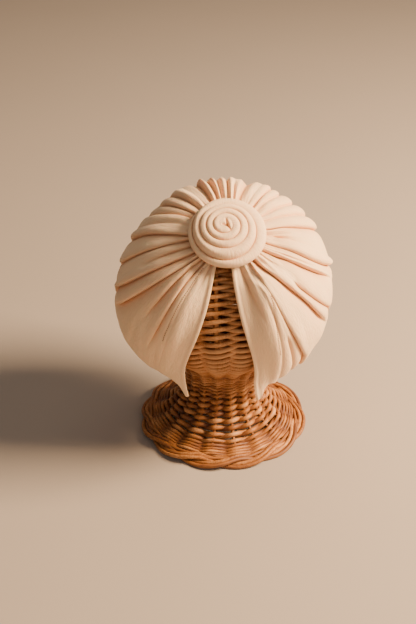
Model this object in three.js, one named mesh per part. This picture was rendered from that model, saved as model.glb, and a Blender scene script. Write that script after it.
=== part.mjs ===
// A pre-tied baby turban on its wicker stand. Millimetres, +Z up, the face opening towards -Y, and the
// origin on the table under the middle of the whole thing. The turban is one gathered jersey shell, open at
// the neck and, in a long inverted V, over the face. All its pleats run out from one point, which a coiled
// rosette covers.
// The stand is a woven ball and neck, a woven flared foot and a scalloped border of folded-down rods.
import * as THREE from "three";

// Stand
const ballRadius = 73.5;
const ballCentreHeight = 134;
const ballTurnsInAt = 52; // degrees below the ball's equator where the ball curves in to the neck
const neckRadius = 32.3;
const neckHeight = 53;
const wickerWall = 3.5;
const stakeCount = 17;
const fluteDepth = 0.9; // how far the foot stands out over each stake
const footRadius = 63.2;
const footHeight = 8.6; // of the foot's top side where the border takes it up
const borderWidth = 8;
const borderHeight = 8;
const lobeCount = 12;
const lobeDepth = 1.5;
const lobeStart = -1; // degrees from the front to the first notch between two lobes
const touchGap = 0.3; // between pieces that meet

// Turban
const clothWall = 2;
const clothGap = 1; // between the ball and cloth that lies flat on it
const puff = 10; // how far the cloth stands off the ball between pleats
const pleatDepth = 5;
const pleatWidth = 3.4;
const faceEdgeReach = 22; // how far from the face edge the cloth reaches its full puff
const gatherUp = 56; // degrees above level that the gathering point looks
const gatherAside = 3; // degrees that it looks to the right of the front
const gatherHole = 8; // degrees from the gathering point to the cloth's inner end, under the rosette
const hemDrop = 60; // from the ball's centre down to the hem at the ears
const hemSlope = 0.13; // rise of the hem from front to back
const hemReach = 75; // how far from the face edge the hem comes down to hemDrop
const foldRise = 8; // how much higher the hem is in the deepest creases

// Rosette
const rosetteUp = 59; // degrees above level that the rosette's middle looks
const rosetteAside = 1.1; // degrees that it looks to the right of the front
const rosetteRadius = 29;
const rosetteHeight = 9.8;
const coilAside = -2.8; // where the middle of the coil lies, from the rosette's middle
const coilUp = 0.8;
const creaseDepth = 2.6;
const rimHeight = 1.6; // of the rim's lower edge over the cloth it lies on

const seatRadius = ballRadius + clothGap + clothWall; // outside of cloth that lies flat on the ball
const degrees = Math.PI / 180;
const ballCentre = new THREE.Vector3(0, 0, ballCentreHeight);

// At each angle from the gathering point: how far the cloth stands off the ball over the ridges and along the
// two face edges, as shares of puff, and the angles of those edges from the front, to the right and the left.
const sections = [
  { from: 8, ridge: 0.45, edge: 0.2, right: -4.5, left: -37.5 },
  { from: 14, ridge: 0.72, edge: 0.35, right: -2, left: -35.5 },
  { from: 24, ridge: 0.75, edge: 0.3, right: 0.3, left: -29 },
  { from: 32, ridge: 0.93, edge: 0.18, right: 2.5, left: -26 },
  { from: 45, ridge: 0.97, edge: 0.11, right: 5.4, left: -24.4 },
  { from: 60, ridge: 1, edge: 0.11, right: 8.9, left: -25.1 },
  { from: 75, ridge: 1, edge: 0.2, right: 11.7, left: -26.8 },
  { from: 85, ridge: 1.03, edge: 0.5, right: 12.3, left: -27.4 },
  { from: 95, ridge: 1.1, edge: 1.05, right: 11.8, left: -25.3 },
  { from: 104, ridge: 1.15, edge: 1.85, right: 12.6, left: -21.5 },
  { from: 115, ridge: 1.05, edge: 2, right: 14, left: -19.5 },
  { from: 150, ridge: 0.55, edge: 2, right: 14, left: -19.5 },
  { from: 170, ridge: 0.2, edge: 2, right: 14, left: -19.5 },
];

// The pleats, in order round the gathering point from the right face edge over the back to the left one.
// Each row is the crease at the bottom of a pleat: its angle from the front at 20, 50 and 80 degrees from the
// gathering point, its depth as a share of pleatDepth, where it starts and fades out, how wide it is on the
// side before and after it as a share of pleatWidth, and the extra lift of the ridge after it as a share of
// pleatDepth.
const faceEdge = { depth: 0, start: 0, end: 180, before: 1, after: 1, ridge: 0 };
const pleats = [
  { ...faceEdge, edge: "right", turn: 0 },
  { at: [14.6, 21.3, 22.5], depth: 0.5, start: 15, end: 54, before: 1.3, after: 0.9, ridge: 0.05 },
  { at: [26.6, 27.6, 27], depth: 0.35, start: 40, end: 125, before: 1.2, after: 1.1, ridge: 0.02 },
  { at: [30.2, 31.2, 33.4], depth: 0.5, start: 64, end: 128, before: 0.8, after: 0.9, ridge: 0.12 },
  { at: [33, 34.6, 40.3], depth: 0.85, start: 12, end: 126, before: 1.3, after: 0.4, ridge: 0.15 },
  { at: [44.7, 53.9, 61.2], depth: 0.95, start: 12, end: 88, before: 1.5, after: 0.4, ridge: 0.1 },
  { at: [54.8, 58.8, 69.9], depth: 0.6, start: 42, end: 118, before: 1.3, after: 0.5, ridge: 0.12 },
  { at: [66.5, 75.5, 85.9], depth: 0.95, start: 12, end: 75, before: 1.4, after: 0.4, ridge: 0.05 },
  { at: [72.9, 77.9, 88.8], depth: 0.35, start: 14, end: 55, before: 0.5, after: 0.5, ridge: 0.05 },
  { at: [82.5, 83, 95.9], depth: 0.75, start: 16, end: 112, before: 1.2, after: 0.4, ridge: 0.3 },
  { at: [97.8, 91.2, 100.2], depth: 0.55, start: 14, end: 45, before: 0.9, after: 0.8, ridge: 0.1 },
  { at: [107.9, 108.7, 117.3], depth: 0.75, start: 14, end: 105, before: 1.2, after: 0.5, ridge: 0.25 },
  { at: [120.2, 119.8, 125.8], depth: 0.5, start: 14, end: 101, before: 1.2, after: 0.7, ridge: 0.25 },
  { at: [130.1, 129.9, 136.8], depth: 0.55, start: 14, end: 97, before: 1.1, after: 0.7, ridge: 0.2 },
  { at: [140.2, 140.1, 145.4], depth: 0.5, start: 14, end: 93, before: 1, after: 0.6, ridge: 0 },
  { at: [147, 146.7, 150.3], depth: 0.65, start: 14, end: 102, before: 0.7, after: 0.6, ridge: 0.15 },
  { at: [155.2, 152.5, 154.9], depth: 0.35, start: 14, end: 46, before: 0.8, after: 0.8, ridge: 0.15 },
  { at: [166.1, 162.5, 163.5], depth: 0.8, start: 14, end: 97, before: 1.2, after: 1.6, ridge: 0.1 },
  { at: [171.5, 170.7, 170.1], depth: 0.4, start: 14, end: 60, before: 0.6, after: 0.6, ridge: 0.2 },
  { at: [177.9, 176.3, 174.8], depth: 0.6, start: 14, end: 97, before: 0.7, after: 0.7, ridge: 0.2 },
  { at: [184.9, 183, 181.3], depth: 0.55, start: 14, end: 93, before: 0.8, after: 0.7, ridge: 0.25 },
  { at: [188.9, 188.5, 187.9], depth: 0.7, start: 14, end: 102, before: 0.8, after: 0.8, ridge: 0.3 },
  { at: [196.8, 194.8, 191.8], depth: 0.75, start: 14, end: 99, before: 0.6, after: 1.6, ridge: 0 },
  { at: [205.2, 205.5, 199.6], depth: 0.3, start: 14, end: 47, before: 0.9, after: 0.9, ridge: 0.3 },
  { at: [213.3, 212.2, 209.3], depth: 0.6, start: 14, end: 95, before: 0.6, after: 1.5, ridge: 0.1 },
  { at: [221.9, 221.8, 215.4], depth: 0.75, start: 14, end: 80, before: 0.6, after: 1.2, ridge: 0.05 },
  { at: [228.4, 232.5, 226.4], depth: 0.75, start: 16, end: 96, before: 0.9, after: 0.6, ridge: 0.1 },
  { at: [242.1, 241.2, 238.5], depth: 0.25, start: 14, end: 74, before: 0.8, after: 1.2, ridge: 0.2 },
  { at: [256.3, 250, 242], depth: 0.85, start: 14, end: 92, before: 0.5, after: 1.4, ridge: 0.05 },
  { at: [262.7, 264.6, 257.5], depth: 0.8, start: 14, end: 100, before: 0.5, after: 1.3, ridge: 0.05 },
  { at: [273.5, 274.3, 268.6], depth: 0.65, start: 12, end: 54, before: 0.5, after: 1.5, ridge: 0.15 },
  { at: [284.9, 281.3, 272], depth: 0.9, start: 12, end: 112, before: 0.4, after: 1.6, ridge: 0.15 },
  { at: [294.7, 290.8, 281.8], depth: 0.9, start: 12, end: 97, before: 0.4, after: 1.7, ridge: 0 },
  { at: [300.3, 302.4, 300.2], depth: 0.75, start: 12, end: 71, before: 0.6, after: 1.3, ridge: 0 },
  { at: [306.9, 311.5, 310.7], depth: 0.65, start: 12, end: 86, before: 0.6, after: 1.1, ridge: 0 },
  { at: [313.8, 318.5, 319.6], depth: 0.25, start: 14, end: 118, before: 0.6, after: 0.6, ridge: 0.1 },
  { at: [319.5, 325.5, 326.1], depth: 0.5, start: 12, end: 35, before: 0.7, after: 0.9, ridge: 0 },
  { ...faceEdge, edge: "left", turn: 360 },
];

// Where the cloth stands off the ball less or more: the angle round the gathering point and its spread, the
// share of the standing off, and the angle from the gathering point at which that begins.
const slack = [
  { at: 230, spread: 38, share: -0.3, start: 0 },
  { at: 288, spread: 24, share: 0.2, start: 38 },
];

// The hem from the face edge on, as shares of hemReach: how far it lies below the ball's centre on the right
// and on the left, as shares of hemDrop. Both front corners hang down in a narrow point.
const hem = [
  { out: 0, right: 1.033, left: 0.95 },
  { out: 0.02, right: 1.1, left: 0.958 },
  { out: 0.043, right: 1.108, left: 0.867 },
  { out: 0.059, right: 1.033, left: 0.808 },
  { out: 0.075, right: 0.908, left: 0.775 },
  { out: 0.107, right: 0.842, left: 0.735 },
  { out: 0.143, right: 0.805, left: 0.722 },
  { out: 0.173, right: 0.81, left: 0.717 },
  { out: 0.213, right: 0.85, left: 0.717 },
  { out: 0.293, right: 0.85, left: 0.725 },
  { out: 0.4, right: 0.833, left: 0.752 },
  { out: 0.587, right: 0.85, left: 0.808 },
  { out: 1, right: 1, left: 1 },
];

// Where the cloth's columns stand between two creases or beside a face edge, and its rows between the
// gathering point and the hem.
const columnShares = [0, 0.2, 0.5, 0.8];
const edgeShares = [0, 0.22, 0.42, 0.72];
const rowShares = [0, 0.07, 0.14, 0.21, 0.29, 0.38, 0.48, 0.6, 0.73, 0.87, 1];

// The rosette's roll, turn by turn from the middle: the radius of its outer crease as a share of the
// rosette's radius. Its last turn tapers away against the rim.
const rollTurns = [
  { turn: 0, crease: 0 },
  { turn: 1, crease: 0.185 },
  { turn: 2, crease: 0.37 },
  { turn: 3, crease: 0.55 },
  { turn: 4, crease: 0.735 },
  { turn: 4.6, crease: 0.855 },
  { turn: 4.85, crease: 1 },
  { turn: 5.85, crease: 1 },
];
// How high the roll's crest stands over its seat, from the middle to the rim, as a share of the rosette's
// height.
const rollCrest = [
  { out: 0, high: 0.93 },
  { out: 0.2, high: 1 },
  { out: 0.5, high: 0.98 },
  { out: 0.75, high: 0.86 },
  { out: 0.9, high: 0.58 },
  { out: 1, high: 0.5 },
];

// The rings of the rosette's underside, from the rim to the middle, as shares of its radius.
const seatShares = [0.97, 0.7, 0.4];

const clothColour = 0xf0d6bd;
const rosetteColour = 0xf2dac4;
const wickerColour = 0xb9763f;

const mix = (a, b, t) => a + (b - a) * t;
const smooth = (low, high, value) => THREE.MathUtils.smoothstep(value, low, high);

// The value of one column of a table at a place between two of its rows.
function between(table, place, column, at) {
  const last = table.length - 1;
  if (at <= table[0][place]) return table[0][column];
  if (at >= table[last][place]) return table[last][column];
  const next = table.findIndex((row) => row[place] > at);
  const a = table[next - 1];
  const b = table[next];
  return mix(a[column], b[column], (at - a[place]) / (b[place] - a[place]));
}

// The three directions that the cloth is laid out by: out of the gathering point, forward and down, right.
const looking = (up, aside) =>
  new THREE.Vector3(
    Math.sin(aside * degrees),
    -Math.cos(up * degrees),
    Math.sin(up * degrees),
  ).normalize();
const gatherAxis = looking(gatherUp, gatherAside);
const downAxis = new THREE.Vector3(0, 0, -1)
  .addScaledVector(gatherAxis, gatherAxis.z)
  .normalize();
const rightAxis = new THREE.Vector3().crossVectors(gatherAxis, downAxis);

// A point at an angle from the gathering point, an angle round it, and a distance from the ball's centre.
function aroundBall(from, round, radius) {
  const aside = Math.sin(from * degrees);
  return ballCentre
    .clone()
    .addScaledVector(gatherAxis, Math.cos(from * degrees) * radius)
    .addScaledVector(downAxis, aside * Math.cos(round * degrees) * radius)
    .addScaledVector(rightAxis, aside * Math.sin(round * degrees) * radius);
}

// The angle round the gathering point of a pleat's crease: a parabola through the three angles of its row.
function creaseAngle(pleat, from) {
  if (pleat.edge) return between(sections, "from", pleat.edge, from) + pleat.turn;
  const [near, middle, far] = pleat.at;
  const t = (THREE.MathUtils.clamp(from, 14, 90) - 50) / 30;
  return middle + ((far - near) / 2) * t + ((far - 2 * middle + near) / 2) * t * t;
}

const rightEdge = pleats[0];
const leftEdge = pleats[pleats.length - 1];

// How far a pleat's crease sinks the cloth at a distance from it, in a gap of a given width between creases.
function sinkOf(pleat, from, distance, gap, width) {
  const fade = smooth(pleat.start - 4, pleat.start + 4, from) * (1 - smooth(pleat.end - 22, pleat.end, from));
  const reach = Math.min(width * pleatWidth, gap / 3.2);
  const end = Math.exp(-gap / reach);
  return (pleat.depth * pleatDepth * fade * (Math.exp(-distance / reach) - end)) / (1 - end);
}

// The angle round the gathering point and the distance from the ball's centre of the cloth's outside, at a
// share of the way from one crease to the next, with the distance to the face edge and how far it is sunk.
function clothAt(index, share, from) {
  const before = pleats[index];
  const after = pleats[index + 1] ?? before;
  const first = creaseAngle(before, from);
  const end = creaseAngle(after, from);
  const round = mix(first, end, share);
  const perDegree = seatRadius * Math.sin(from * degrees) * degrees;
  const gap = Math.max((end - first) * perDegree, 0.01);
  const toEdge =
    perDegree * Math.min(round - creaseAngle(rightEdge, from), creaseAngle(leftEdge, from) - round);
  let slackness = 1;
  for (const { at, spread, share, start } of slack)
    slackness += share * Math.exp(-(((round - at) / spread) ** 2)) * smooth(start - 10, start + 10, from);
  const edge = between(sections, "from", "edge", from);
  const ridge = between(sections, "from", "ridge", from) * slackness;
  const standOff = mix(edge, ridge, smooth(0, faceEdgeReach, toEdge)) * puff;
  const spread = smooth(24, 42, from) * (1 - smooth(80, 110, from));
  const lift = before.ridge * pleatDepth * Math.sin(Math.PI * share) * spread;
  const sink =
    sinkOf(before, from, share * gap, gap, before.after) +
    sinkOf(after, from, (1 - share) * gap, gap, after.before);
  return { round, radius: Math.max(seatRadius, seatRadius + standOff + lift - sink), toEdge, sink };
}

// The angle from the gathering point at which a column of the cloth reaches the hem.
function hemAngle(index, share) {
  for (let from = 70; from < 168; from += 0.25) {
    const { round, radius, toEdge, sink } = clothAt(index, share, from);
    const point = aroundBall(from, round, radius);
    const rise = foldRise * Math.min(sink / pleatDepth, 1) * smooth(4, 12, toEdge);
    const drop = hemDrop * between(hem, "out", round < 180 ? "right" : "left", toEdge / hemReach) - rise;
    if (point.z - ballCentreHeight < hemSlope * point.y - drop) return from;
  }
  return 168;
}

// A closed wall from two grids of points, rows by columns, that are its outside and its inside.
function wallGeometry(outside, inside) {
  const rows = outside.length;
  const columns = outside[0].length;
  const points = [...outside.flat(), ...inside.flat()];
  const at = (row, column, layer) => (layer * rows + row) * columns + column;
  const faces = [];
  const quad = (a, b, c, d) => faces.push(a, b, c, a, c, d);
  for (let r = 0; r < rows - 1; r++) {
    for (let c = 0; c < columns - 1; c++) {
      quad(at(r, c, 0), at(r + 1, c, 0), at(r + 1, c + 1, 0), at(r, c + 1, 0));
      quad(at(r, c, 1), at(r, c + 1, 1), at(r + 1, c + 1, 1), at(r + 1, c, 1));
    }
    quad(at(r, 0, 0), at(r, 0, 1), at(r + 1, 0, 1), at(r + 1, 0, 0));
    quad(at(r, columns - 1, 0), at(r + 1, columns - 1, 0), at(r + 1, columns - 1, 1), at(r, columns - 1, 1));
  }
  for (let c = 0; c < columns - 1; c++) {
    quad(at(0, c, 0), at(0, c + 1, 0), at(0, c + 1, 1), at(0, c, 1));
    quad(at(rows - 1, c, 0), at(rows - 1, c, 1), at(rows - 1, c + 1, 1), at(rows - 1, c + 1, 0));
  }
  return meshGeometry(points, faces);
}

function meshGeometry(points, faces) {
  const geometry = new THREE.BufferGeometry().setFromPoints(points);
  geometry.setIndex(faces);
  geometry.computeVertexNormals();
  return geometry;
}

function crownGeometry() {
  const columns = [];
  const lastGap = pleats.length - 2;
  for (let index = 0; index <= lastGap; index++) {
    let shares = columnShares;
    if (index === 0) shares = edgeShares;
    if (index === lastGap) shares = [0, ...edgeShares.slice(1).map((share) => 1 - share).reverse()];
    for (const share of shares) columns.push({ index, share });
  }
  columns.push({ index: pleats.length - 1, share: 0 });
  const hems = columns.map(({ index, share }) => hemAngle(index, share));
  const layer = (wall) =>
    rowShares.map((row) =>
      columns.map(({ index, share }, c) => {
        const from = mix(gatherHole, hems[c], row);
        const { round, radius } = clothAt(index, share, from);
        return aroundBall(from, round, radius - wall);
      }),
    );
  return wallGeometry(layer(0), layer(clothWall));
}

// The rosette in its own frame: +Z out of the gathering point, its seat a cap that fits the cloth under it.
const rimAngle = Math.asin(rosetteRadius / (seatRadius + puff)) / degrees;
const rimShare = between(sections, "from", "ridge", rimAngle + rosetteUp - gatherUp);
const rosetteSeat = seatRadius + rimShare * puff + touchGap;
const seatHeight = (radius) => Math.sqrt(rosetteSeat ** 2 - radius ** 2) - rosetteSeat;

// A roll is a strip between its inner and its outer crease, which the next turn shares.
function rosetteGeometry() {
  const stepsPerTurn = 24;
  const across = 4;
  const steps = Math.round(rollTurns[rollTurns.length - 1].turn * stepsPerTurn);
  const rimStart = steps - stepsPerTurn;
  const points = [new THREE.Vector3(coilAside, coilUp, rosetteHeight * rollCrest[0].high - creaseDepth)];
  const creases = [];
  const creaseAt = (step) => (step < 0 ? 0 : creases[step]);
  const add = (radius, step, height) => {
    const angle = -(step / stepsPerTurn) * 2 * Math.PI;
    const off = height > 0 ? 1 - (radius / rosetteRadius) ** 1.5 : 0;
    points.push(
      new THREE.Vector3(
        radius * Math.cos(angle) + off * coilAside,
        radius * Math.sin(angle) + off * coilUp,
        seatHeight(radius) + height,
      ),
    );
    return points.length - 1;
  };
  const crest = (radius) => rosetteHeight * between(rollCrest, "out", "high", radius / rosetteRadius);
  const radiusOf = (step) =>
    step < 0 ? 0 : rosetteRadius * between(rollTurns, "turn", "crease", step / stepsPerTurn);
  for (let step = 0; step <= steps; step++) {
    if (step === 0) creases.push(0);
    else if (step === steps) creases.push(creases[rimStart]);
    else {
      const onRim = step >= rimStart;
      creases.push(add(radiusOf(step), step, onRim ? rimHeight : crest(radiusOf(step)) - creaseDepth));
    }
  }
  const strips = [];
  for (let step = 0; step <= steps; step++) {
    const inner = radiusOf(step - stepsPerTurn);
    const outer = radiusOf(step);
    const row = [creaseAt(step - stepsPerTurn)];
    const narrow = step === 0 || step === steps;
    for (let i = 1; i < across; i++) {
      const turn = (i / across) * Math.PI;
      const radius = mix(inner, outer, (1 - Math.cos(turn)) / 2);
      const outerLow = outer > rosetteRadius * 0.999 ? rimHeight : crest(outer) - creaseDepth;
      const low = mix(crest(inner) - creaseDepth, outerLow, i / across);
      const full = smooth(0, 0.12, (outer - inner) / rosetteRadius);
      const height = mix(low, crest(radius), Math.sin(turn) * full);
      row.push(narrow ? row[0] : add(radius, step, height));
    }
    row.push(creaseAt(step));
    strips.push(row);
  }
  const faces = [];
  const triangle = (a, b, c) => {
    if (a !== b && b !== c && a !== c) faces.push(a, b, c);
  };
  for (let step = 0; step < steps; step++)
    for (let i = 0; i < across; i++) {
      const [a, b] = [strips[step][i], strips[step][i + 1]];
      const [c, d] = [strips[step + 1][i + 1], strips[step + 1][i]];
      triangle(a, c, b);
      triangle(a, d, c);
    }
  const rim = creases.slice(rimStart, steps);
  const seatRing = (share) => rim.map((_, i) => add(rosetteRadius * share, rimStart + i, 0));
  const rings = [rim, ...seatShares.map(seatRing)];
  const centre = points.push(new THREE.Vector3(0, 0, 0)) - 1;
  rings.push(rim.map(() => centre));
  for (let ring = 0; ring < rings.length - 1; ring++)
    rim.forEach((_, i) => {
      const j = (i + 1) % rim.length;
      triangle(rings[ring][i], rings[ring][j], rings[ring + 1][j]);
      triangle(rings[ring][i], rings[ring + 1][j], rings[ring + 1][i]);
    });
  return meshGeometry(points, faces);
}

// A line of points moved sideways by the wall, to its left as it runs.
function movedAside(line, wall) {
  return line.map((point, i) => {
    const before = line[Math.max(i - 1, 0)];
    const after = line[Math.min(i + 1, line.length - 1)];
    const along = after.clone().sub(before).normalize();
    return point.clone().add(new THREE.Vector2(-along.y, along.x).multiplyScalar(wall));
  });
}

// The woven ball and neck: a hollow wall turned round the stand's axis, open below.
function ballProfile() {
  const arc = 10;
  const turnsIn = -ballTurnsInAt * degrees;
  const onBall = (angle, radius) =>
    new THREE.Vector2(radius * Math.cos(angle), ballCentreHeight + radius * Math.sin(angle));
  const line = [];
  for (let i = 0; i <= arc; i++) line.push(onBall(mix(Math.PI / 2, turnsIn, i / arc), ballRadius));
  const leaves = line[arc];
  const run = (leaves.x - neckRadius) / Math.sin(-turnsIn);
  const corner = new THREE.Vector2(neckRadius, leaves.y - run * Math.cos(turnsIn));
  const neck = new THREE.QuadraticBezierCurve(leaves, corner, new THREE.Vector2(neckRadius, neckHeight));
  line.push(...neck.getPoints(3).slice(1));
  return line;
}

function ballGeometry() {
  const outside = ballProfile();
  const inside = movedAside(outside, -wickerWall).reverse();
  outside[0].x = 0;
  inside[inside.length - 1].set(0, ballCentreHeight + ballRadius - wickerWall);
  return turned([...outside, ...inside], 2 * stakeCount);
}

// A profile of radii and heights, turned round the stand's axis.
function turned(profile, segments) {
  const geometry = new THREE.LatheGeometry([...profile].reverse(), segments);
  geometry.rotateX(Math.PI / 2);
  return geometry;
}

// Moves each point of a turned piece away from the axis by what a function of its angle and radius says.
function pushedOut(geometry, distance) {
  const points = geometry.attributes.position;
  for (let i = 0; i < points.count; i++) {
    const x = points.getX(i);
    const y = points.getY(i);
    const radius = Math.hypot(x, y);
    const scale = (radius + distance(Math.atan2(x, -y), radius)) / radius;
    points.setXY(i, x * scale, y * scale);
  }
  geometry.computeVertexNormals();
  return geometry;
}

// The foot flares from the neck to the border and stands out a little over each stake.
function footGeometry() {
  const top = new THREE.Vector2(neckRadius, neckHeight - touchGap);
  const edge = new THREE.Vector2(footRadius, footHeight);
  const curve = new THREE.CubicBezierCurve(
    top,
    new THREE.Vector2(neckRadius + 1, mix(footHeight, neckHeight, 0.5)),
    new THREE.Vector2(mix(neckRadius, footRadius, 0.4), mix(footHeight, neckHeight, 0.12)),
    edge,
  );
  const outside = curve.getPoints(8);
  const inside = movedAside(outside, -wickerWall).reverse();
  const loop = [...outside, ...inside, outside[0].clone()];
  const flute = (angle, radius) =>
    fluteDepth * Math.cos(stakeCount * angle) * smooth(neckRadius, mix(neckRadius, footRadius, 0.3), radius) *
    (1 - smooth(mix(neckRadius, footRadius, 0.8), footRadius - 1, radius));
  return pushedOut(turned(loop, 2 * stakeCount), flute);
}

// The border: a ring of folded-down rods whose outside runs in round lobes with a sharp notch between them.
function borderGeometry() {
  const inner = footRadius + touchGap;
  const shape = [
    { out: 0, high: 0.55 },
    { out: 0.1, high: 0.15 },
    { out: 0.25, high: 0 },
    { out: 0.75, high: 0 },
    { out: 0.93, high: 0.15 },
    { out: 1, high: 0.5 },
    { out: 0.88, high: 0.85 },
    { out: 0.5, high: 1 },
    { out: 0.15, high: 0.9 },
  ].map(({ out, high }) => new THREE.Vector2(inner + out * borderWidth, high * borderHeight));
  const lobe = (angle, radius) => {
    const share = Math.abs(Math.sin((lobeCount / 2) * (angle - lobeStart * degrees)));
    return lobeDepth * (share - 0.6) * smooth(inner, inner + borderWidth, radius);
  };
  const segments = 5 * lobeCount;
  const geometry = turned([...shape, shape[0].clone()].reverse(), segments);
  geometry.rotateZ(lobeStart * degrees);
  return pushedOut(geometry, lobe);
}

function piece(name, geometry, color, roughness) {
  const mesh = new THREE.Mesh(geometry, new THREE.MeshStandardMaterial({ color, roughness, metalness: 0 }));
  mesh.name = name;
  return mesh;
}

const turban = new THREE.Group();
turban.add(piece("turban_crown", crownGeometry(), clothColour, 0.9));
const rosette = piece("turban_rosette", rosetteGeometry(), rosetteColour, 0.9);
const rosetteAxis = looking(rosetteUp, rosetteAside);
const rosetteRight = new THREE.Vector3(0, 0, 1).cross(rosetteAxis).negate().normalize();
const rosetteTop = new THREE.Vector3().crossVectors(rosetteAxis, rosetteRight);
rosette.position.copy(ballCentre).addScaledVector(rosetteAxis, rosetteSeat);
rosette.quaternion.setFromRotationMatrix(
  new THREE.Matrix4().makeBasis(rosetteRight, rosetteTop, rosetteAxis),
);
turban.add(rosette);

const stand = new THREE.Group();
stand.add(piece("stand_ball", ballGeometry(), wickerColour, 0.6));
stand.add(piece("stand_foot", footGeometry(), wickerColour, 0.6));
stand.add(piece("stand_border", borderGeometry(), wickerColour, 0.6));

const whole = new THREE.Group();
whole.add(stand, turban);
const box = new THREE.Box3().setFromObject(whole, true);
const middle = box.getCenter(new THREE.Vector3());
whole.position.set(-middle.x, -middle.y, -box.min.z);

export default whole;
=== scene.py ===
# Looks for the gathered jersey turban on its woven rattan stand.
# Lengths are millimetres from the stand's axis on the floor until a mesh is made,
# then metres in the row frame.
import math

import bpy
import numpy as np
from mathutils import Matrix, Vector


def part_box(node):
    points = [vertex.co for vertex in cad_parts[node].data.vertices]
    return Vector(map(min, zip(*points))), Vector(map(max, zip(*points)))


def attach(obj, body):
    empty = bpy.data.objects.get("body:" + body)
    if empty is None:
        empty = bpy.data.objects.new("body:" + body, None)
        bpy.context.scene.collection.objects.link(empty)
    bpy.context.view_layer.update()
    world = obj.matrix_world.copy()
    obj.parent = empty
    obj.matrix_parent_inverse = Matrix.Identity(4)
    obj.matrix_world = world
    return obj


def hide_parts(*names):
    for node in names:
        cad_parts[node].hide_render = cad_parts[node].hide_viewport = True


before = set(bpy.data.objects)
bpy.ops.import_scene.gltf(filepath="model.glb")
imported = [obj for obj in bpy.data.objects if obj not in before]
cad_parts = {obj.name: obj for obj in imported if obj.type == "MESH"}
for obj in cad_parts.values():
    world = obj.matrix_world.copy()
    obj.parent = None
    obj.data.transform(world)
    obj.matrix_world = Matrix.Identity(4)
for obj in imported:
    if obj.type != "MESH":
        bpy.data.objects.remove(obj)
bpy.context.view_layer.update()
print("frame loaded:", sorted(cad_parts))

borderLow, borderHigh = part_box("stand_border")
axisAt = np.array([(borderLow.x + borderHigh.x) / 2, (borderLow.y + borderHigh.y) / 2, 0.0])


# small tools

def mix(a, b, t):
    return a + (b - a) * t


def smooth(low, high, value):
    t = np.clip((value - low) / (high - low), 0, 1)
    return t * t * (3 - 2 * t)


def unit(v):
    return v / np.maximum(np.linalg.norm(v, axis=-1, keepdims=True), 1e-12)


def eased(at, table, column):
    # a smooth curve through one column of a table, which may also be a list of pairs
    xs = np.array([row[0] for row in table], float)
    ys = np.array([row[column] for row in table], float)
    step = np.diff(ys) / np.diff(xs)
    slope = np.concatenate([[step[0]], (step[:-1] + step[1:]) / 2, [step[-1]]])
    slope[1:-1] = np.where(step[:-1] * step[1:] > 0, slope[1:-1], 0)  # no overshoot at a high or low
    at = np.clip(at, xs[0], xs[-1])
    i = np.clip(np.searchsorted(xs, at, side="right") - 1, 0, len(xs) - 2)
    h = xs[i + 1] - xs[i]
    t = (at - xs[i]) / h
    return (
        ys[i] * (1 + 2 * t) * (1 - t) ** 2
        + slope[i] * h * t * (1 - t) ** 2
        + ys[i + 1] * t * t * (3 - 2 * t)
        + slope[i + 1] * h * t * t * (t - 1)
    )


def softNoise(u, v, seed):
    # smooth noise from -1 to 1 that repeats after so many cells
    cells = 64
    grid = np.random.default_rng(seed).uniform(-1, 1, (cells, cells))
    iu, iv = np.floor(u).astype(int), np.floor(v).astype(int)
    fu, fv = smooth(0, 1, u - iu), smooth(0, 1, v - iv)

    def corner(du, dv):
        return grid[(iu + du) % cells, (iv + dv) % cells]

    return mix(mix(corner(0, 0), corner(1, 0), fu), mix(corner(0, 1), corner(1, 1), fu), fv)


def inRow(points):
    # from millimetres about the stand's axis to the row frame in metres
    return np.asarray(points, float) / 1000 + axisAt


def linked(name, mesh):
    piece = bpy.data.objects.new(name, mesh)
    bpy.context.scene.collection.objects.link(piece)
    return piece


def volume(points, faces):
    # positive where the faces point outwards
    total = 0.0
    for block in faces:
        for k in range(1, block.shape[1] - 1):
            a, b, c = (points[block[:, i]] for i in (0, k, k + 1))
            total += float(np.einsum("ij,ij->i", a, np.cross(b, c)).sum()) / 6
    return total


def addMark(mesh, name, values):
    # one number at each point, which a material or a Geometry Nodes group reads by its name
    mesh.attributes.new(name, "FLOAT", "POINT").data.foreach_set("value", np.asarray(values, np.float32))


def meshPiece(name, points, faces, material, flatMap, marks):
    # faces is a list of arrays, one row a face; flatMap gives each point its place on the flat cloth,
    # a unit of which is 100 mm
    points = inRow(points)
    if volume(points - points.mean(0), faces) < 0:
        faces = [block[:, ::-1] for block in faces]
    mesh = bpy.data.meshes.new(name)
    mesh.from_pydata(points.tolist(), [], [row for block in faces for row in block.tolist()])
    mesh.polygons.foreach_set("use_smooth", np.ones(len(mesh.polygons), bool))
    corners = np.zeros(len(mesh.loops), np.int32)
    mesh.loops.foreach_get("vertex_index", corners)
    layer = mesh.uv_layers.new(name="flatCloth")
    layer.data.foreach_set("uv", np.asarray(flatMap, np.float32)[corners].ravel())
    for mark, values in marks.items():
        addMark(mesh, mark, values)
    mesh.materials.append(material)
    mesh.validate()
    mesh.update()
    return linked(name, mesh)


def settle(piece, slot, *nodes):
    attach(piece, "root")
    if nodes:
        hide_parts(*nodes)
    piece.data.calc_loop_triangles()
    print(f"{piece.name}: {len(piece.data.loop_triangles)} triangles")
    return piece


# node trees

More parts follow.
